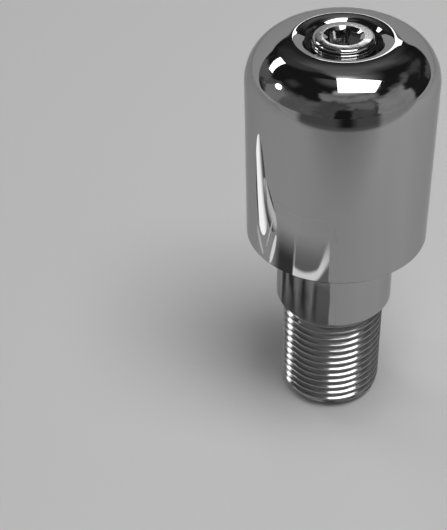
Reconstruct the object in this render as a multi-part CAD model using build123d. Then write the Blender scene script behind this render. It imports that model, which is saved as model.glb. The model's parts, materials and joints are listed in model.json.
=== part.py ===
from build123d import *
import math
import os

# Chromed weight for the end of a motorcycle handlebar, with the socket head cap screw in its recess.
# Millimetres. +Z runs from the threaded stud up to the domed head.
# The origin is the centre of the stud's end face, on which the part stands.

# Head: the thick cylinder with a domed outer end.
head_dia = 31.0
head_length = 37.3
rear_chamfer = 0.8

# Neck: the plain cylinder between the head and the stud.
neck_dia = 20.5
neck_length = 13.5
neck_end_chamfer = 0.3

# Stud: M18 x 1.5, its cylinder taken over the thread's crests.
stud_dia = 18.0
stud_length = 22.0
stud_tip_chamfer = 1.85

# Mouth of the recess: the dome rises to a round crest, and inside it the metal rolls down to the bore.
mouth_width = 1.9
mouth_drop = 0.75

# Cap screw: M6, with a hexagon socket and a rounded top edge.
screw_dia = 6.0
screw_length = 20.0
screw_tip_chamfer = 0.8
screw_head_dia = 10.0
screw_head_height = 6.0
screw_head_round = 0.7
socket_across_flats = 5.0
socket_depth = 3.2
socket_mouth_dia = 6.45
socket_mouth_angle = 120.0
socket_turn = 15.5

# How the screw sits: the gap round its head, how far it stands out, the play round its shank.
head_gap = 1.1
screw_stand_out = 0.2
shank_gap = 0.05

# Tapped hole under the screw's head: its mouth chamfer, its depth below the screw and its drilled end.
hole_mouth_chamfer = 0.4
hole_spare_depth = 3.0
drill_point_angle = 118.0

# Heights and radii that follow from the sizes above.
head_r = head_dia / 2
neck_r = neck_dia / 2
stud_r = stud_dia / 2
screw_r = screw_dia / 2
screw_head_r = screw_head_dia / 2
socket_mouth_r = socket_mouth_dia / 2
neck_z = stud_length
head_z = neck_z + neck_length
top_z = head_z + head_length
screw_top_z = top_z + screw_stand_out
seat_z = screw_top_z - screw_head_height
bore_r = screw_head_r + head_gap
crest_r = bore_r + mouth_width
dome_radius = head_r - crest_r
hole_r = screw_r + shank_gap
hole_end_z = seat_z - screw_length - hole_spare_depth
drill_tip_z = hole_end_z - hole_r / math.tan(math.radians(drill_point_angle / 2))

# Weight body, turned from one bar: the half section runs up the outside from the stud to the dome,
# over the crest, and down inside to the drilled end of the tapped hole.
with BuildPart() as weight_body:
    with BuildSketch(Plane.XZ):
        with BuildLine():
            outside = Polyline(
                (0, 0),
                (stud_r - stud_tip_chamfer, 0),
                (stud_r, stud_tip_chamfer),
                (stud_r, neck_z),
                (neck_r - neck_end_chamfer, neck_z),
                (neck_r, neck_z + neck_end_chamfer),
                (neck_r, head_z),
                (head_r - rear_chamfer, head_z),
                (head_r, head_z + rear_chamfer),
                (head_r, top_z - dome_radius),
            )
            dome = JernArc(start=outside @ 1, tangent=(0, 1), radius=dome_radius, arc_size=90)
            mouth = TangentArc(dome @ 1, (bore_r, top_z - mouth_drop), tangent=(-1, 0))
            Polyline(
                mouth @ 1,
                (bore_r, seat_z),
                (hole_r + hole_mouth_chamfer, seat_z),
                (hole_r, seat_z - hole_mouth_chamfer),
                (hole_r, hole_end_z),
                (0, drill_tip_z),
                (0, 0),
            )
        make_face()
    revolve(axis=Axis.Z)

# Cap screw: turned head and shank, then the socket.
with BuildPart() as cap_screw:
    with BuildSketch(Plane.XZ):
        with BuildLine():
            side = Polyline(
                (0, seat_z - screw_length),
                (screw_r - screw_tip_chamfer, seat_z - screw_length),
                (screw_r, seat_z - screw_length + screw_tip_chamfer),
                (screw_r, seat_z),
                (screw_head_r, seat_z),
                (screw_head_r, screw_top_z - screw_head_round),
            )
            corner = JernArc(start=side @ 1, tangent=(0, 1), radius=screw_head_round, arc_size=90)
            Polyline(corner @ 1, (0, screw_top_z), (0, seat_z - screw_length))
        make_face()
    revolve(axis=Axis.Z)

    # Hexagon socket, with the countersink that leads the key in.
    with BuildSketch(Plane.XY.offset(screw_top_z)):
        RegularPolygon(socket_across_flats / 2, 6, major_radius=False, rotation=socket_turn)
    extrude(amount=-socket_depth, mode=Mode.SUBTRACT)
    mouth_depth = socket_mouth_r / math.tan(math.radians(socket_mouth_angle / 2))
    with Locations((0, 0, screw_top_z - mouth_depth)):
        Cone(
            0,
            socket_mouth_r,
            mouth_depth,
            align=(Align.CENTER, Align.CENTER, Align.MIN),
            mode=Mode.SUBTRACT,
        )

os.makedirs("parts", exist_ok=True)
export_step(weight_body.part, "parts/weight_body.step")
export_step(cap_screw.part, "parts/cap_screw.step")
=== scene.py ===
# %% [markdown]
# # A chromed bar end weight
#
# The part is a steel weight that screws into the end of a handlebar, plated and polished like a
# mirror. Its shape comes from the solids of the frame. This script gives it the two things that the
# solids leave out, which are the fine forms (the thread, the knurl, the softened edges) and the
# surface that shows them.
#
# A mirror has no look of its own. What the eye reads as chrome is the room around it, so half of the
# work here is the stage: how bright the floor is, and where the lamps stand.

# %% Frame and tools
import json
import math

import bmesh
import bpy
from mathutils import Matrix, Vector

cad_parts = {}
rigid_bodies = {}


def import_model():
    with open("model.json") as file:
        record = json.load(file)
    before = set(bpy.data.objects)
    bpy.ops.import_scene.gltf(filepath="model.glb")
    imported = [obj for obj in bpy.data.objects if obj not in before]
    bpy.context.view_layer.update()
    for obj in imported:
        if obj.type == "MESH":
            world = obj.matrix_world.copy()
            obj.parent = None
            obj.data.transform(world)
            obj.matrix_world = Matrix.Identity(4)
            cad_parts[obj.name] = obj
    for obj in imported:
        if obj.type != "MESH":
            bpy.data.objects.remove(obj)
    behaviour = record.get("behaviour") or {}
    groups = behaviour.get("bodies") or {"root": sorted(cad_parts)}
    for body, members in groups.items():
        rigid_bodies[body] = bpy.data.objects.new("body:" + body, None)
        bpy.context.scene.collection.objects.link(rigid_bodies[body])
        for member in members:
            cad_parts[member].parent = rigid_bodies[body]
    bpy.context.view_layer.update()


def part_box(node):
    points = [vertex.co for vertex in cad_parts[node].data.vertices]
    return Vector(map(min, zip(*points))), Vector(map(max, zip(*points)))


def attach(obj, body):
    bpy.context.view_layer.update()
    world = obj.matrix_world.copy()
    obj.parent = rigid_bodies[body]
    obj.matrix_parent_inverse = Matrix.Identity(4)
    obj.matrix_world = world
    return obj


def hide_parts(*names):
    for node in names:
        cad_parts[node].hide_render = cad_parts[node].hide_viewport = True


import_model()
body_low, body_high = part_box("weight_body")
screw_low, screw_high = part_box("cap_screw")
MM = 0.001
print("weight body", [round(v / MM, 2) for v in body_high - body_low], "mm")
print("cap screw", [round(v / MM, 2) for v in screw_high - screw_low], "mm")

# %% [markdown]
# ## Camera
#
# The photograph was taken close to the part and from well above it, so the sides run together
# towards the floor. A camera at the same place and height gives the same taper. The picture is 447
# by 530 pixels, and a focal length in pixels turns into millimetres once it is set against the
# sensor.

# %% Camera
PICTURE_WIDTH = 447
FOCAL_LENGTH_IN_PIXELS = 1188
CAMERA_PLACE = (-19.7 * MM, -163.6 * MM, 161.3 * MM)
CAMERA_LOOKS_DOWN = 39.1
CAMERA_ROLL = -1.96


def place_camera():
    data = bpy.data.cameras.new("camera")
    data.sensor_fit = "HORIZONTAL"
    data.sensor_width = 36
    data.lens = FOCAL_LENGTH_IN_PIXELS / PICTURE_WIDTH * data.sensor_width
    data.clip_start = 0.01
    camera = bpy.data.objects.new("camera", data)
    bpy.context.scene.collection.objects.link(camera)
    tilt = Matrix.Rotation(math.radians(90 - CAMERA_LOOKS_DOWN), 4, "X")
    roll = Matrix.Rotation(math.radians(CAMERA_ROLL), 4, "Z")
    camera.matrix_world = Matrix.Translation(CAMERA_PLACE) @ tilt @ roll
    bpy.context.scene.camera = camera
    return camera


camera = place_camera()
print("lens", round(camera.data.lens, 1), "mm")

# %% [markdown]
# ## Shader sums
#
# A node tree is easier to read as arithmetic. `Wire` stands for one output socket, and each operator
# on it adds the Math node that does the sum. `Shader` stands for a whole tree. Its `node` adds any
# other node from its type, its settings and what goes into its sockets.

# %% Shader sums
class Wire:
    """One output socket of a node tree, on which sums can be written."""

    def __init__(self, shader, socket):
        self.shader = shader
        self.socket = socket

    def __add__(self, other):
        return self.shader.sum("ADD", self, other)

    def __radd__(self, other):
        return self.shader.sum("ADD", other, self)

    def __sub__(self, other):
        return self.shader.sum("SUBTRACT", self, other)

    def __rsub__(self, other):
        return self.shader.sum("SUBTRACT", other, self)

    def __mul__(self, other):
        return self.shader.sum("MULTIPLY", self, other)

    def __rmul__(self, other):
        return self.shader.sum("MULTIPLY", other, self)

    def __truediv__(self, other):
        return self.shader.sum("DIVIDE", self, other)

    def __pow__(self, other):
        return self.shader.sum("POWER", self, other)

    def __mod__(self, other):
        return self.shader.sum("MODULO", self, other)

    def __neg__(self):
        return 0 - self

    def __abs__(self):
        return self.shader.sum("ABSOLUTE", self)

    def sine(self):
        return self.shader.sum("SINE", self)

    def arcsine(self):
        """An angle, in degrees."""
        return self.shader.sum("ARCSINE", self) * math.degrees(1)

    def turn_from(self, east):
        """The direction, in degrees, of a place this far north and that far east."""
        return self.shader.sum("ARCTAN2", self, east) * math.degrees(1)

    def steps(self, low, high):
        """Rises smoothly from 0 at low to 1 at high."""
        settings = {"interpolation_type": "SMOOTHSTEP"}
        inputs = {"Value": self, "From Min": low, "From Max": high}
        return self.shader.node("ShaderNodeMapRange", settings, inputs)


class Shader:
    """The node tree of a material or of the world. surface is the shader in it that is fed."""

    def __init__(self, owner, surface, **constants):
        owner.use_nodes = True
        self.owner = owner
        self.tree = owner.node_tree
        self.surface = self.tree.nodes[surface]
        for socket, value in constants.items():
            self.surface.inputs[socket.replace("_", " ")].default_value = value

    def node(self, kind, settings=None, inputs=None, output=0):
        made = self.tree.nodes.new(kind)
        for name, value in (settings or {}).items():
            setattr(made, name, value)
        for name, value in (inputs or {}).items():
            if isinstance(value, Wire):
                self.tree.links.new(value.socket, made.inputs[name])
            else:
                made.inputs[name].default_value = value
        return Wire(self, made.outputs[output])

    def sum(self, operation, first, second=0.0):
        return self.node("ShaderNodeMath", {"operation": operation}, {0: first, 1: second})

    def axes(self, vector):
        """The three numbers of a vector."""
        split = self.node("ShaderNodeSeparateXYZ", {}, {"Vector": vector})
        return [Wire(self, socket) for socket in split.socket.node.outputs]

    def place(self):
        """Where a point lies on the object, in metres."""
        return self.node("ShaderNodeTexCoord", output="Object")

    def noise(self, scale, detail):
        """Cloudy noise on the object, about 0.5. Its clouds are some 1 / scale metres across."""
        inputs = {"Vector": self.place(), "Scale": scale, "Detail": detail}
        return self.node("ShaderNodeTexNoise", {}, inputs)

    def feed(self, socket, wire):
        self.tree.links.new(wire.socket, self.surface.inputs[socket])


def new_finish(name, grey, **constants):
    """A material of one neutral grey. Its other constants are named as the shader's sockets are."""
    colour = (grey, grey, grey, 1)
    return Shader(bpy.data.materials.new(name), "Principled BSDF", Base_Color=colour, **constants)


# %% [markdown]
# ## Floor
#
# The part stands on a round sheet of pale grey paper. Polished metal seen from above mirrors the floor
# in front of it, so this grey is also the grey of the finished picture. A sheet any whiter would
# wash the metal out. Towards the right, where the big lamp hangs, painted light makes the paper's
# colour a little paler.

# %% Floor
FLOOR_RADIUS = 0.8
FLOOR_GREY = 0.66
FLOOR_PAINTED_LIGHT = 0.03
FLOOR_PAINTED_LIGHT_FROM = -120 * MM
FLOOR_PAINTED_LIGHT_TO = 140 * MM


def lay_floor():
    bm = bmesh.new()
    bmesh.ops.create_circle(bm, cap_ends=True, segments=128, radius=FLOOR_RADIUS)
    mesh = bpy.data.meshes.new("floor")
    bm.to_mesh(mesh)
    bm.free()
    floor = bpy.data.objects.new("floor", mesh)
    bpy.context.scene.collection.objects.link(floor)
    paper = new_finish("pale paper", FLOOR_GREY, Roughness=0.9, Specular_IOR_Level=0.2)
    east, north, up = paper.axes(paper.place())
    # Painted light: the paper's colour grows paler towards the big lamp on the right.
    right = east.steps(FLOOR_PAINTED_LIGHT_FROM, FLOOR_PAINTED_LIGHT_TO)
    paper.feed("Base Color", FLOOR_GREY + FLOOR_PAINTED_LIGHT * right)
    mesh.materials.append(paper.owner)
    return floor


floor = lay_floor()
print("floor", 2 * FLOOR_RADIUS, "m across")

# %% [markdown]
# ## Lamps
#
# Each white patch on the dome is a lamp. Its corners on the dome tell the directions of the lamp's
# corners, by the rule that a mirror throws light off at the angle at which it came. Four directions
# and a guess at the distance fix a flat lamp in the room. A wide box of light hangs overhead, and two
# smaller lamps stand behind and to the left. A long low lamp behind the part shines along its
# crest, where it draws the thin bright ring round the recess.

# %% Lamps
def hang_lamp(name, place, tilt, width, depth, brightness, shape="RECTANGLE"):
    """A flat lamp, facing down before it is tilted. tilt is in degrees about X, then Y, then Z."""
    data = bpy.data.lights.new(name, "AREA")
    data.shape = shape
    data.size = width
    data.size_y = depth
    data.energy = brightness * width * depth * math.pi
    lamp = bpy.data.objects.new(name, data)
    bpy.context.scene.collection.objects.link(lamp)
    lamp.location = place
    lamp.rotation_euler = [math.radians(angle) for angle in tilt]
    return lamp


hang_lamp("overhead lamp", (0.289, -0.239, 1.053), (22, -20.4, -13.9), 0.785, 0.569, 6.0)
hang_lamp("rear left lamp", (-0.759, 0.622, 0.763), (-6, 6.7, 93), 0.206, 0.622, 5.0)
hang_lamp("left lamp", (-1.09, 0.03, 0.59), (0, -64.5, 0), 0.19, 0.19, 6.0, "ELLIPSE")
hang_lamp("rear lamp", (0.2176, 1.0235, 0.66), (-60.7, 0, -12), 0.25, 0.055, 3.0)

# %% [markdown]
# ## Room
#
# Between the lamps the dome mirrors the room: a pale backdrop behind the part, grey walls, and a dark
# ceiling. A room of boards could be built for that, but only its directions matter, so it is
# painted on the world. Each patch is a stretch of wall, given by where it lies round the horizon
# (turn), how far up it reaches (height) and how bright it is. Noise roughens the outlines of the
# walls, as shelves and boxes would, and leaves the glow of the lamps clean.
#
# A low camera looks past the floor. For its own rays, which the Light Path node tells apart, the
# whole room is the pale backdrop.

# %% Room
CEILING = 0.016
BACKDROP = 0.5
BACKDROP_TURN = 93
BACKDROP_HEIGHT = 28
BACKDROP_SIDES = (24, 70)
BACKDROP_TOP_SOFT = (-1.2, 0.2)
BACKDROP_TOP_SWAY = 3
WALLS = [
    # turn, half width, low, high and softness in degrees, then brightness
    (85, 42, 36, 66, 9, 0.07),
    (80, 22, 42, 72, 9, 0.16),
    (-4, 22, 33, 44, 5, 0.15),
    (-31, 24, -10, 37, 5, 0.36),
    (-86, 40, 38, 55, 6, 0.29),
    (-94, 36, -10, 37, 6, 0.10),
    (-72, 14, 21, 36, 3, 0.2),
    (-92, 12, -12, 21, 4, 0.015),
    (-150, 26, -10, 32, 7, 0.15),
    (178, 13, -10, 28, 5, 0.28),
    (146, 17, 6, 28, 4, 0.16),
    (15, 23, 3, 36, 6, 0.02),
    (28, 9, 24, 38, 4, 0.08),
    (29, 8, 2, 14, 3, 0.12),
]
GLOW = [
    # the same six numbers
    (35, 75, 68, 100, 10, 0.26),
    (38, 62, 79, 100, 5, 1.2),
    (-70, 42, 56, 64, 5, 0.55),
    (-155, 50, 74, 100, 6, 0.12),
    (-178, 9, 41, 52, 5, 0.07),
]
WALL_SWAY = 36
WALL_LIFT = 24
MOTTLE_DARKEST = 0.75
MOTTLE_RANGE = 0.5


def paint_room():
    world = bpy.data.worlds.new("room")
    room = Shader(world, "Background", Strength=1.0)
    way = room.node("ShaderNodeTexCoord", output="Generated")
    clutter = room.node("ShaderNodeTexNoise", {}, {"Vector": way, "Scale": 4.0, "Detail": 3.0}, "Color")
    east, north, up = room.axes(way)
    sway, lift, mottle = room.axes(clutter)
    height = up.arcsine()
    turn = north.turn_from(east)

    def away_from(middle, turn):
        return abs((turn - middle + 540) % 360 - 180)

    def inside(turn, height, middle, half_width, low, high, soft):
        wall = 1 - away_from(middle, turn).steps(half_width - soft, half_width + soft)
        above = height.steps(low - soft, low + soft)
        return wall * above * (1 - height.steps(high - soft, high + soft))

    def cover(brightness, share, level):
        return brightness * (1 - share) + level * share

    brightness = CEILING
    rough_turn = turn + WALL_SWAY * (sway - 0.5)
    rough_height = height + WALL_LIFT * (lift - 0.5)
    for *patch, level in WALLS:
        brightness = cover(brightness, inside(rough_turn, rough_height, *patch), level)
    # Noise mottles the painted brightness of the walls, darker and lighter in patches.
    brightness = brightness * (MOTTLE_DARKEST + MOTTLE_RANGE * mottle)
    for *patch, level in GLOW:
        brightness = cover(brightness, inside(turn, height, *patch), level)
    top = BACKDROP_HEIGHT * (1 - away_from(BACKDROP_TURN, turn).steps(*BACKDROP_SIDES))
    below_top = 1 - (height - top + BACKDROP_TOP_SWAY * (lift - 0.5)).steps(*BACKDROP_TOP_SOFT)
    brightness = cover(brightness, below_top, BACKDROP)
    from_camera = room.node("ShaderNodeLightPath", output="Is Camera Ray")
    room.feed("Color", cover(brightness, from_camera, BACKDROP))
    return world


bpy.context.scene.world = paint_room()
bpy.context.scene.view_settings.view_transform = "Standard"
print("room:", len(WALLS), "stretches of wall and", len(GLOW), "glows")

# %% [markdown]
# ## Cards for the metal
#
# In a studio, bright and dark cards are laid round polished metal, and what it mirrors shapes its
# look. They are made here as ovals that shine by themselves. Cards so near would stand in the
# picture, so the camera doesn't see them, and they cast no light or shadow. Only the metal mirrors
# them, so what they draw there is painted reflection: painted highlights and painted shade.

# %% Cards for the metal
def lay_reflection_card(name, middle, length, width, turn=0):
    """An oval card that lies level and shines by itself, a painted reflection that only the metal
    shows. turn is that of its length, in degrees.
    """
    bm = bmesh.new()
    bmesh.ops.create_circle(bm, cap_ends=True, segments=96, radius=0.5)
    bmesh.ops.scale(bm, vec=(length, width, 1), verts=bm.verts)
    swung = Matrix.Rotation(math.radians(turn), 3, "Z")
    bmesh.ops.rotate(bm, verts=bm.verts, cent=(0, 0, 0), matrix=swung)
    bmesh.ops.translate(bm, vec=middle, verts=bm.verts)
    mesh = bpy.data.meshes.new(name)
    bm.to_mesh(mesh)
    bm.free()
    card = bpy.data.objects.new(name, mesh)
    bpy.context.scene.collection.objects.link(card)
    card.visible_camera = False
    card.visible_diffuse = False
    card.visible_shadow = False
    card.visible_transmission = False
    look = new_finish(name, 0.0, Roughness=1.0, Specular_IOR_Level=0.0, Emission_Strength=1.0)
    mesh.materials.append(look.owner)
    print(name, round(length / MM), "by", round(width / MM), "mm")
    return look


def round_axis(look):
    """The distance from the part's axis, in metres, and the turn round it, 0 to 360 degrees from +X."""
    east, north, up = look.axes(look.place())
    distance = (east * east + north * north) ** 0.5
    turn = 180 + (-north).turn_from(-east)
    return distance, turn


# %% [markdown]
# ### Dark card in front: painted shade in the mirror
#
# The pale sheet of a table-top photograph ends just before the lens, and what lies beyond it is dark.
# That end is the low dark rim of the dome, and the shade that the polished side takes on towards
# its middle. The card has no hard edge: its alpha fades in over a hand's breadth in front of the
# part, and round the lens it is darkest.

# %% Dark card in front
CARD_FAR = 30
CARD_ABOVE_FLOOR = 0.5 * MM
FIRST_FADE = (-120 * MM, -75 * MM)
FIRST_FADE_SHARE = 0.42
SECOND_FADE = (-142 * MM, -105 * MM)
SECOND_FADE_SHARE = 0.58
MIDDLE_TURN = 263
MIDDLE_HALF_WIDTHS = (8, 60)
MIDDLE_SHARE = 0.16
NEAR_STRETCH = (-230 * MM, -120 * MM)
RIGHT_TURNS = (302, 311)
LEFT_TURNS = (212, 222)
LENS_TURN = 270
LENS_HALF_WIDTHS = (2, 15)


def lay_front_card():
    place = (0, -CARD_FAR / 2, CARD_ABOVE_FLOOR)
    look = lay_reflection_card("front card", place, 4 * CARD_FAR, CARD_FAR)
    east, north, up = look.axes(look.place())
    turn = round_axis(look)[1]
    first_fade = 1 - north.steps(*FIRST_FADE)
    second_fade = 1 - north.steps(*SECOND_FADE)
    beyond = FIRST_FADE_SHARE * first_fade + SECOND_FADE_SHARE * second_fade
    middle = MIDDLE_SHARE * (1 - abs(turn - MIDDLE_TURN).steps(*MIDDLE_HALF_WIDTHS))
    near = north.steps(*NEAR_STRETCH)
    right = turn.steps(*RIGHT_TURNS)
    left = 1 - turn.steps(*LEFT_TURNS)
    lens = (1 - abs(turn - LENS_TURN).steps(*LENS_HALF_WIDTHS)) * (1 - near)
    # Painted reflection: alpha lays painted shade over the mirrored floor in front, deepest towards the
    # middle; the emission is the painted dark beyond the sheet, lighter at both sides and near the
    # part, darkest round the lens.
    look.feed("Alpha", 1 - (1 - beyond) * (1 - middle))
    look.feed("Emission Color", 0.1 + 0.24 * right + 0.3 * left - 0.085 * lens + 0.04 * near)


lay_front_card()

# %% [markdown]
# ### Leaves
#
# The tall bright streak down the left of the head is a painted reflection: a narrow glowing card seen
# in a round mirror. The cylinder draws it out into a leaf with a pointed end. An oval card gives that
# outline by itself, and a dark margin gives the thin dark lines beside it, as painted shade.

# %% Leaves
STREAK_HEIGHT = 15 * MM
LEAF_LEFT_MARGIN = (-0.75, 0.15)
LEAF_RIGHT_MARGIN = (0.68, 0.76)


def lay_leaf(name, middle, length, width, turn, dark, lit):
    """A glowing card of painted reflection with dark margins, brightest near the left of its length.
    Its sizes are in millimetres.
    """
    x, y = middle[0] * MM, middle[1] * MM
    look = lay_reflection_card(name, (x, y, STREAK_HEIGHT), length * MM, width * MM, turn)
    east, north, up = look.axes(look.place())
    cosine, sine = math.cos(math.radians(turn)), math.sin(math.radians(turn))
    across = ((north - y) * cosine - (east - x) * sine) / (width / 2 * MM)
    share = across.steps(*LEAF_LEFT_MARGIN) * (1 - across.steps(*LEAF_RIGHT_MARGIN))
    # Painted reflection: a painted bright band between dark margins of painted shade.
    look.feed("Emission Color", dark + (lit - dark) * share)


lay_leaf("bright leaf", (-60, 15), 39, 20, -45, 0.13, 2.0)
lay_leaf("dim leaf", (-56.5, -2), 27, 10, 121.4, 0.1, 0.9)

# %% [markdown]
# ### Card for the foot of the head
#
# Low on the head, left of the middle, stands a dark patch with an upright line in it, and a bright
# curve ends it at the foot and the right. Both are painted reflection: a dark card of painted shade
# that lies across the corner of a lit one, whose edge is a painted highlight. One card does both: alpha
# cuts its outline and the emission draws the lit edge.

# %% Card for the foot of the head
HEAD_CARD_LEFT = (188, 204)
HEAD_CARD_RIGHT = (257.4, 258.2)
HEAD_CARD_INNER = (35 * MM, 36 * MM)
HEAD_CARD_OUTER = (43 * MM, 55 * MM)
FRONT_STARTS = (219, 221)
CORNER_TURN = 220
CORNER_HALF_WIDTHS = (0.5, 1.5)
EDGE_TURN = math.radians(229.1)
EDGE_FROM_AXIS = 40.2 * MM
EDGE_HALF_WIDTHS = (0.7 * MM, 2.2 * MM)
EDGE_RISE = 3.8 * MM
EDGE_RISE_TURNS = (245, 258)
EDGE_WIDENS = 1.2


def lay_head_card():
    """Painted reflection: dark, with a painted bright edge towards the part. It ends sharply at the
    right and fades at the left.
    """
    middle = (-30.7 * MM, -28.6 * MM, STREAK_HEIGHT + 0.5 * MM)
    look = lay_reflection_card("head card", middle, 72 * MM, 34 * MM, -47)
    east, north, up = look.axes(look.place())
    distance, turn = round_axis(look)
    out = math.cos(EDGE_TURN) * east + math.sin(EDGE_TURN) * north
    reach = turn.steps(*HEAD_CARD_LEFT) * (1 - turn.steps(*HEAD_CARD_RIGHT))
    near = distance.steps(*HEAD_CARD_INNER) * (1 - distance.steps(*HEAD_CARD_OUTER))
    front = turn.steps(*FRONT_STARTS)
    rise = turn.steps(*EDGE_RISE_TURNS)
    from_edge = abs(out - EDGE_FROM_AXIS - EDGE_RISE * rise) / (1 + EDGE_WIDENS * rise)
    edge = front * (1 - from_edge.steps(*EDGE_HALF_WIDTHS))
    corner = 1 - abs(turn - CORNER_TURN).steps(*CORNER_HALF_WIDTHS)
    # Painted reflection: painted shade in the dark body, painted highlights along the edge and at the
    # corner.
    look.feed("Alpha", reach * near)
    look.feed("Emission Color", 0.06 + 0.14 * front + edge + 0.4 * corner)


lay_head_card()

# %% [markdown]
# ### Card for the neck
#
# The left half of the neck is crossed by upright stripes, dark and mid grey, and its right half is
# plain. They are painted reflections of a glowing card. Stripes that run straight out from the axis
# stand upright in a cylinder, whatever the height of the camera. Noise makes them uneven.

# %% Card for the neck
NECK_CARD_LEFT = (150, 154)
NECK_CARD_RIGHT = (254, 257)
NECK_CARD_RIGHT_SWAY = 14
NECK_CARD_INNER = (26 * MM, 30 * MM)
NECK_CARD_OUTER = (44 * MM, 51 * MM)
NECK_CARD_DEPTH = (28 * MM, 42 * MM)
STRIPE_PITCH = 25
STRIPE_START = 190.75
STRIPE_SWAY = 34
STRIPES_END = (228, 240)


def lay_neck_card():
    look = lay_reflection_card("neck card", (-27.5 * MM, -12 * MM, 1 * MM), 92 * MM, 46 * MM, -66.5)
    distance, turn = round_axis(look)
    drift = look.noise(55.0, 3.0) - 0.5
    near = distance.steps(*NECK_CARD_INNER) * (1 - distance.steps(*NECK_CARD_OUTER))
    right_end = (turn + NECK_CARD_RIGHT_SWAY * drift).steps(*NECK_CARD_RIGHT)
    reach = turn.steps(*NECK_CARD_LEFT) * (1 - right_end)
    from_start = turn - STRIPE_START + STRIPE_SWAY * drift
    stripes = (from_start * math.radians(360 / STRIPE_PITCH)).sine()
    striped = 1 - turn.steps(*STRIPES_END)
    depth = distance.steps(*NECK_CARD_DEPTH)
    # Painted reflection: stripes of painted shade and painted light for the neck to mirror.
    look.feed("Alpha", reach * near)
    look.feed("Emission Color", 0.11 + (0.05 + 0.12 * stripes * striped) * depth)


lay_neck_card()

# %% [markdown]
# ### Strips
#
# Three thin bright strips cross below the leaf. In the mirror they are the small lines that fan out
# above the rear edge of the head: painted highlights.

# %% Strips
def lay_strip(name, start, end, width, level):
    """A thin bright card of painted reflection, from one place to another, both in millimetres."""
    way = Vector(end) - Vector(start)
    middle = (Vector(start) + Vector(end)) / 2
    turn = math.degrees(math.atan2(way.y, way.x))
    place = (middle.x * MM, middle.y * MM, STREAK_HEIGHT + 1 * MM)
    look = lay_reflection_card(name, place, way.length * MM, width * MM, turn)
    look.surface.inputs["Emission Color"].default_value = (level, level, level, 1)


lay_strip("crossing strip", (-52, -9), (-41, -1), 1.3, 0.8)
lay_strip("short strip", (-46, -13), (-37, -6), 3.0, 1.3)
lay_strip("inner strip", (-42, 13), (-38, 1), 2.0, 0.9)

# %% [markdown]
# ## Finishes of the body
#
# Chrome plate is a mirror that sends back about half of the light, with almost no colour of its own.
# At a grazing angle a real plate grows a little paler, and never white, which the specular tint
# holds back. Handling leaves faint hazy patches, so noise lets the gloss wander a little.

# %% Polished chrome
CHROME_EDGE = (0.7, 0.7, 0.7, 1)


def polished_chrome():
    chrome = new_finish("polished chrome", 0.46, Metallic=1.0, Specular_Tint=CHROME_EDGE)
    haze = chrome.noise(140.0, 3.0).steps(0.45, 0.75)
    chrome.feed("Roughness", 0.02 + 0.04 * haze)
    return chrome.owner


print("polished chrome, roughness 0.02 to 0.06")

# %% [markdown]
# The thread is plated with the rest, but a buffing wheel can't reach into its grooves. The plate
# stays grainy there, which softens the lines of light. A Metallic of 0.75 makes a quarter of the
# surface dull, so the flanks that mirror the dark ceiling are mid grey and not black.

# %% Chrome in the thread
def thread_chrome():
    chrome = new_finish("chrome in the thread", 0.44, Metallic=0.75, Specular_Tint=CHROME_EDGE)
    grain = chrome.noise(900.0, 2.0).steps(0.35, 0.75)
    chrome.feed("Roughness", 0.13 + 0.06 * grain)
    return chrome.owner


print("chrome in the thread, roughness 0.13 to 0.19")

# %% [markdown]
# The recess and the tapped hole below it are bored steel. Little plate gets down there, and the
# cutter's marks spread the light. A body with several finishes keeps them in a list, and each face
# has the number of its own.

# %% Bored steel
def bored_steel():
    steel = new_finish("bored steel", 0.5, Metallic=1.0)
    grain = steel.noise(2500.0, 3.0).steps(0.3, 0.7)
    steel.feed("Roughness", 0.22 + 0.2 * grain)
    return steel.owner


BODY_FINISHES = [polished_chrome(), thread_chrome(), bored_steel()]
# A new face has number 0, the polished chrome.
THREADED = 1
BORED = 2
print("finishes of the body:", [finish.name for finish in BODY_FINISHES])

# %% [markdown]
# ## Weight body
#
# The body is turned on a lathe, and a lathe piece is half of its section swung round the axis. The
# solids of the frame are made of flat facets, which a mirror would show. So the body is swung again
# on the same sizes, with many more steps and smooth shading, and its thread is cut here.

# %% Sizes of the body
STEPS_ROUND = 192
STUD_RADIUS = 9.0 * MM
STUD_LENGTH = 22.0 * MM
STUD_TIP_CHAMFER = 1.85 * MM
NECK_RADIUS = 10.25 * MM
NECK_TOP = 35.5 * MM
NECK_END_CHAMFER = 0.3 * MM
HEAD_RADIUS = body_high.x
HEAD_TOP = body_high.z
REAR_CHAMFER = 0.8 * MM
CREST_RADIUS = 8.0 * MM
DOME_RADIUS = HEAD_RADIUS - CREST_RADIUS
MOUTH_WIDTH = 1.9 * MM
MOUTH_DROP = 0.75 * MM
BORE_RADIUS = CREST_RADIUS - MOUTH_WIDTH
SEAT_HEIGHT = 67.0 * MM
HOLE_RADIUS = 3.05 * MM
HOLE_MOUTH_CHAMFER = 0.4 * MM
HOLE_END = 44.0 * MM
DRILL_POINT_ANGLE = 118
THREAD_PITCH = 1.5 * MM
# The standard depth of an M thread.
THREAD_DEPTH = 0.6134 * THREAD_PITCH
print("thread depth", round(THREAD_DEPTH / MM, 2), "mm")


# %% [markdown]
# ### Helpers for turned shapes
#
# `chain` lays a section out as vertices and edges, and `swing` turns it round the axis with Blender's
# spin. `arc` gives the points of a round. Where a section touches the axis, spin leaves a fan of
# vertices in one place, so `finish_mesh` welds them before it points the faces outwards. It marks an
# edge sharp where two faces meet at more than 28 degrees, and smooth shading stops there.

# %% Helpers for turned shapes
SHARP_ANGLE = 28
WELD = 0.0004 * MM


def chain(bm, points):
    """A row of vertices joined by edges, from (radius, height) pairs."""
    verts = [bm.verts.new((r, 0, z)) for r, z in points]
    edges = [bm.edges.new(pair) for pair in zip(verts, verts[1:])]
    return verts + edges


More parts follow.
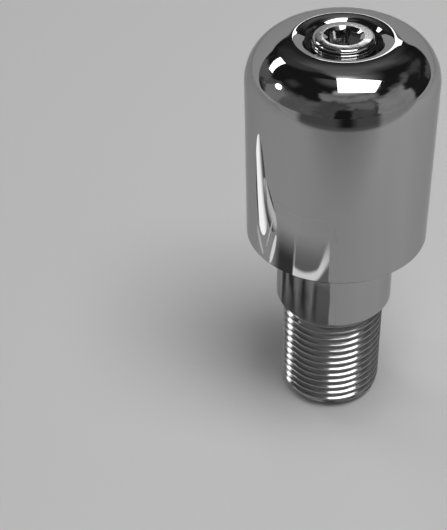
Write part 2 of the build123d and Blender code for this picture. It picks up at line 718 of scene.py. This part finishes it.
def arc(centre, radius, start, end, steps):
    """Points on an arc round (radius, height), both angles in degrees from the level."""
    turn = [math.radians(start + (end - start) * i / steps) for i in range(steps + 1)]
    return [(centre[0] + radius * math.cos(a), centre[1] + radius * math.sin(a)) for a in turn]


def swing(bm, geom, steps=STEPS_ROUND, climb=0.0):
    """Swings a chain once round the axis. climb is how far it rises on the way."""
    bmesh.ops.spin(
        bm,
        geom=geom,
        cent=(0, 0, 0),
        axis=(0, 0, 1),
        dvec=(0, 0, climb / steps),
        angle=2 * math.pi,
        steps=steps,
        use_merge=climb == 0,
    )


def finish_mesh(bm, name):
    """Welds the mesh, points its faces outwards, marks its sharp edges and makes it an object."""
    bmesh.ops.remove_doubles(bm, verts=bm.verts, dist=WELD)
    bmesh.ops.dissolve_degenerate(bm, edges=bm.edges, dist=WELD)
    bmesh.ops.recalc_face_normals(bm, faces=bm.faces)
    for face in bm.faces:
        face.smooth = True
    sharp_angle = math.radians(SHARP_ANGLE)
    for edge in bm.edges:
        edge.smooth = len(edge.link_faces) == 2 and edge.calc_face_angle() < sharp_angle
    loose = [edge for edge in bm.edges if not edge.is_manifold]
    mesh = bpy.data.meshes.new(name)
    bm.to_mesh(mesh)
    print(name, len(mesh.polygons), "faces,", len(loose), "open edges")
    bm.free()
    piece = bpy.data.objects.new(name, mesh)
    bpy.context.scene.collection.objects.link(piece)
    return piece


# %% [markdown]
# ### Thread
#
# A thread is one small section carried round the axis while it climbs by its pitch. Spin does that
# when it is given a climb, and copies of the one turn, set on top of each other, make the stud. The
# thread runs past both ends. Then each vertex is brought back: to the stud's length, to the cone of
# the chamfered tip, and out to the full diameter where the thread fades out below the neck.
#
# The flanks need exact shading, because a mirror doubles each error. Their light is a row of wedges:
# the head above shades the upper turns from the overhead lamp, and the lower turns less.

# %% Thread
THREAD_TOP = 21.7 * MM
THREAD_FADE = 2.0 * MM
THREAD_WELD = 0.001 * MM
CREST_ROUND = 0.108 * THREAD_PITCH
ROOT_ROUND = 0.13 * THREAD_PITCH
FLANK_TURN = 60
FLANK_ENDS = (0.1, 0.9)


def flank(start, end):
    """Two points near the ends of a straight flank, which keep the rounds' shading off it."""
    return [tuple(a + (b - a) * share for a, b in zip(start, end)) for share in FLANK_ENDS]


def thread_section():
    """One pitch of an M thread: half a crest, flank, root, flank and half a crest, all rounded."""
    crest_middle = STUD_RADIUS - CREST_ROUND
    root_centre = (STUD_RADIUS - THREAD_DEPTH + ROOT_ROUND, THREAD_PITCH / 2)
    low = arc((crest_middle, 0), CREST_ROUND, 0, FLANK_TURN, 3)
    root = arc(root_centre, ROOT_ROUND, FLANK_TURN - 180, -180 - FLANK_TURN, 6)
    high = arc((crest_middle, THREAD_PITCH), CREST_ROUND, -FLANK_TURN, 0, 3)
    return low + flank(low[-1], root[0]) + root + flank(root[-1], high[0]) + high


def cut_thread(bm):
    """The stud's outside: a helix that fades out below the neck and is cut off by the tip's chamfer."""
    turns = math.ceil(STUD_LENGTH / THREAD_PITCH) + 2
    section = [(r, z - 2 * THREAD_PITCH) for r, z in thread_section()]
    swing(bm, chain(bm, section), climb=THREAD_PITCH)
    one_turn = bm.verts[:] + bm.edges[:] + bm.faces[:]
    for turn in range(1, turns):
        copied = bmesh.ops.duplicate(bm, geom=one_turn)["geom"]
        raised = [part for part in copied if isinstance(part, bmesh.types.BMVert)]
        bmesh.ops.translate(bm, verts=raised, vec=(0, 0, turn * THREAD_PITCH))
    bmesh.ops.remove_doubles(bm, verts=bm.verts, dist=THREAD_WELD)
    root_radius = STUD_RADIUS - THREAD_DEPTH
    for vert in bm.verts:
        height = min(max(vert.co.z, 0), STUD_LENGTH)
        faded = min(max((height - THREAD_TOP + THREAD_FADE) / THREAD_FADE, 0), 1)
        radius = math.hypot(vert.co.x, vert.co.y)
        wanted = max(radius, root_radius + THREAD_DEPTH * faded)
        wanted = min(wanted, STUD_RADIUS - STUD_TIP_CHAMFER + height)
        vert.co.x *= wanted / radius
        vert.co.y *= wanted / radius
        vert.co.z = height
    for face in bm.faces:
        face.material_index = THREADED


# %% [markdown]
# ### Recess
#
# Inside the bright mouth the recess is only bored. It has the bored finish from the mouth's lower
# edge down to the drilled end of the tapped hole.

# %% Recess
TOUCHING = 0.01 * MM


def paint_bore(bm):
    """Marks the faces of the recess and of the hole below it."""
    for face in bm.faces:
        middle = face.calc_center_median()
        inside = math.hypot(middle.x, middle.y) < BORE_RADIUS + TOUCHING
        if inside and HOLE_END - HOLE_RADIUS < middle.z < HEAD_TOP - MOUTH_DROP:
            face.material_index = BORED


print("recess", round((HEAD_TOP - SEAT_HEIGHT) / MM, 1), "mm deep")

# %% [markdown]
# ### Body
#
# One chain runs from the stud's shoulder up the outside, over the round crest, and down the recess.
# Smooth shading spreads the dome's curve into the long face below it, and a mirror shows that as a
# bent streak. A support ring just under the dome keeps the side straight.

# %% Body
SUPPORT_RING_DOWN = 0.15 * MM


def body_section():
    """Half of the section, from the stud's shoulder over the crest to the tip of the tapped hole."""
    outside = [
        (STUD_RADIUS, STUD_LENGTH),
        (NECK_RADIUS - NECK_END_CHAMFER, STUD_LENGTH),
        (NECK_RADIUS, STUD_LENGTH + NECK_END_CHAMFER),
        (NECK_RADIUS, NECK_TOP),
        (HEAD_RADIUS - REAR_CHAMFER, NECK_TOP),
        (HEAD_RADIUS, NECK_TOP + REAR_CHAMFER),
        (HEAD_RADIUS, HEAD_TOP - DOME_RADIUS - SUPPORT_RING_DOWN),
    ]
    dome = arc((CREST_RADIUS, HEAD_TOP - DOME_RADIUS), DOME_RADIUS, 0, 90, 48)
    mouth_round = (MOUTH_WIDTH**2 + MOUTH_DROP**2) / (2 * MOUTH_DROP)
    mouth_turn = math.degrees(2 * math.atan(MOUTH_DROP / MOUTH_WIDTH))
    mouth = arc((CREST_RADIUS, HEAD_TOP - mouth_round), mouth_round, 90, 90 + mouth_turn, 20)
    drill_tip = HOLE_END - HOLE_RADIUS / math.tan(math.radians(DRILL_POINT_ANGLE / 2))
    recess = [
        (BORE_RADIUS, SEAT_HEIGHT),
        (HOLE_RADIUS + HOLE_MOUTH_CHAMFER, SEAT_HEIGHT),
        (HOLE_RADIUS, SEAT_HEIGHT - HOLE_MOUTH_CHAMFER),
        (HOLE_RADIUS, HOLE_END),
        (0, drill_tip),
    ]
    return outside + dome + mouth[1:] + recess


def make_body():
    bm = bmesh.new()
    cut_thread(bm)
    swing(bm, chain(bm, [(0, 0), (STUD_RADIUS - STUD_TIP_CHAMFER, 0)]))
    swing(bm, chain(bm, body_section()))
    paint_bore(bm)
    piece = finish_mesh(bm, "weight_body_dressed")
    for finish in BODY_FINISHES:
        piece.data.materials.append(finish)
    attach(piece, "root")
    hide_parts("weight_body")


make_body()

# %% [markdown]
# ## Cap screw
#
# The weight is held by a socket head cap screw that sits in the recess. It is plated too, and less
# carefully: its flat top is worn by keys and fingers, and fine scratches break up the light there.
# A bump of a few hundredths of a millimetre is enough, in patches, because it is chrome still.

# %% Screw chrome
SCRATCH_DEPTH = 0.03 * MM
WORN_TOP = (screw_high.z - 0.06 * MM, screw_high.z - 0.01 * MM)


def screw_chrome():
    chrome = new_finish("screw chrome", 0.52, Metallic=1.0, Specular_Tint=CHROME_EDGE)
    east, north, height = chrome.axes(chrome.place())
    scratches = chrome.noise(2600.0, 4.0)
    worn = chrome.noise(420.0, 2.0).steps(0.42, 0.6)
    top = height.steps(*WORN_TOP)
    bump = {"Strength": 0.35, "Distance": SCRATCH_DEPTH, "Height": scratches * worn}
    chrome.feed("Roughness", 0.05 + 0.08 * worn + 0.05 * top)
    chrome.feed("Normal", chrome.node("ShaderNodeBump", {}, bump))
    return chrome.owner


SCREW_FINISH = screw_chrome()
print("finish of the screw:", SCREW_FINISH.name)

# %% [markdown]
# ### Sizes of the screw
#
# It is an M6 screw with a 10 mm head and a 5 mm hexagon. Two narrow beads are turned round its
# shoulder, above the knurl. The corners of the socket are rounded, as a punch leaves them.

# %% Sizes of the screw
SCREW_STEPS = 288
SCREW_TOP = screw_high.z
SCREW_END = screw_low.z
SCREW_RADIUS = 3.0 * MM
SCREW_TIP_CHAMFER = 0.8 * MM
SCREW_HEAD_RADIUS = screw_high.x
SCREW_HEAD_ROUND = 0.55 * MM
SCREW_HEAD_EDGE_INSET = 0.1 * MM
SCREW_FOOT_CHAMFER = 0.2 * MM
BEAD_RADIUS = 0.2 * MM
BEAD_HEIGHTS = (SCREW_TOP - 1.55 * MM, SCREW_TOP - 1.05 * MM)
KNURL_LOW = SEAT_HEIGHT + 0.7 * MM
KNURL_HIGH = SCREW_TOP - 2.0 * MM
KNURL_RIDGES = 72
KNURL_DEPTH = 0.09 * MM
KNURL_RUN_OUT = 0.1 * MM
SOCKET_HALF = 2.5 * MM
SOCKET_DEPTH = 3.2 * MM
SOCKET_DISH = 0.35 * MM
SOCKET_MOUTH = 3.225 * MM
SOCKET_MOUTH_SLOPE = 30
SOCKET_WALL_ENDS = 25
SOCKET_TURN = 15.5
print("screw head", round(2 * SCREW_HEAD_RADIUS / MM, 1), "mm across,", KNURL_RIDGES, "ridges")

# %% [markdown]
# ### Outside of the screw
#
# The outside is turned like the body. The beads and the rounded edge are arcs in the section. The
# knurl is pressed in afterwards: the vertices of the band move in and out as a cosine of the angle.

# %% Outside of the screw
def move_radius(vert, radius):
    """Slides a vertex straight out from the axis, or in towards it."""
    scale = radius / math.hypot(vert.co.x, vert.co.y)
    vert.co.x *= scale
    vert.co.y *= scale


def screw_section():
    """Half of the section, from the shank's end up the outside to the mouth of the socket."""
    shank = [
        (0, SCREW_END),
        (SCREW_RADIUS - SCREW_TIP_CHAMFER, SCREW_END),
        (SCREW_RADIUS, SCREW_END + SCREW_TIP_CHAMFER),
        (SCREW_RADIUS, SEAT_HEIGHT),
        (SCREW_HEAD_RADIUS - SCREW_FOOT_CHAMFER, SEAT_HEIGHT),
        (SCREW_HEAD_RADIUS, SEAT_HEIGHT + SCREW_FOOT_CHAMFER),
        (SCREW_HEAD_RADIUS, KNURL_LOW - KNURL_RUN_OUT),
        (SCREW_HEAD_RADIUS, KNURL_LOW),
        (SCREW_HEAD_RADIUS, KNURL_HIGH),
    ]
    beads = []
    for height in BEAD_HEIGHTS:
        beads += arc((SCREW_HEAD_RADIUS - BEAD_RADIUS, height), BEAD_RADIUS, -60, 75, 8)
    corner_radius = SCREW_HEAD_RADIUS - SCREW_HEAD_ROUND - SCREW_HEAD_EDGE_INSET
    corner = arc((corner_radius, SCREW_TOP - SCREW_HEAD_ROUND), SCREW_HEAD_ROUND, -15, 90, 10)
    return shank + beads + corner + [(SOCKET_MOUTH, SCREW_TOP)]


def press_knurl(bm):
    """Straight ridges round the side, as a knurling wheel leaves them."""
    for vert in bm.verts:
        radius = math.hypot(vert.co.x, vert.co.y)
        if radius > SCREW_HEAD_RADIUS - TOUCHING and KNURL_LOW <= vert.co.z <= KNURL_HIGH:
            ridge = 0.5 - 0.5 * math.cos(KNURL_RIDGES * math.atan2(vert.co.y, vert.co.x))
            move_radius(vert, radius - KNURL_DEPTH * ridge)


# %% [markdown]
# ### Socket
#
# A hexagon socket can be cut with a boolean, but that leaves long thin faces, which a mirror shows.
# Here a round pocket is turned first. Then each vertex of its wall slides out from the axis to the
# hexagon. The mouth is a shallow cone, so it dips deepest at the flats and least at the corners.

# %% Socket
def hexagon_radius(vert):
    """Distance from the axis to a hexagon's wall, which rounds off just before each corner."""
    sixth = math.radians(60)
    from_flat = abs(math.atan2(vert.co.y, vert.co.x) % sixth - sixth / 2)
    return SOCKET_HALF / math.cos(min(from_flat, math.radians(SOCKET_WALL_ENDS)))


def punch_socket():
    """A mesh of the socket alone, from the edge of its mouth down to its slightly dished bottom."""
    bm = bmesh.new()
    bottom = SCREW_TOP - SOCKET_DEPTH
    points = [
        (SOCKET_MOUTH, SCREW_TOP),
        (SOCKET_HALF, SCREW_TOP),
        (SOCKET_HALF, bottom + SOCKET_DISH),
        (0, bottom),
    ]
    swing(bm, chain(bm, points), SCREW_STEPS)
    slope = math.tan(math.radians(SOCKET_MOUTH_SLOPE))
    for vert in bm.verts:
        if abs(math.hypot(vert.co.x, vert.co.y) - SOCKET_HALF) < TOUCHING:
            wall = hexagon_radius(vert)
            move_radius(vert, wall)
            if vert.co.z > SCREW_TOP - SOCKET_DEPTH / 2:
                vert.co.z -= (SOCKET_MOUTH - wall) * slope
    socket = bpy.data.meshes.new("socket")
    bm.to_mesh(socket)
    bm.free()
    print("socket", 2 * SOCKET_HALF / MM, "mm across its flats")
    return socket


# %% [markdown]
# ### Screw
#
# The two meshes meet at the edge of the socket's mouth, where they have the same vertices. Welding
# them makes one closed piece. It is turned last, to the angle at which the hexagon stands.

# %% Screw
def make_screw():
    bm = bmesh.new()
    swing(bm, chain(bm, screw_section()), SCREW_STEPS)
    press_knurl(bm)
    socket = punch_socket()
    bm.from_mesh(socket)
    bpy.data.meshes.remove(socket)
    turned = Matrix.Rotation(math.radians(SOCKET_TURN), 3, "Z")
    bmesh.ops.rotate(bm, verts=bm.verts, cent=(0, 0, 0), matrix=turned)
    piece = finish_mesh(bm, "cap_screw_dressed")
    piece.data.materials.append(SCREW_FINISH)
    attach(piece, "root")
    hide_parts("cap_screw")


make_screw()
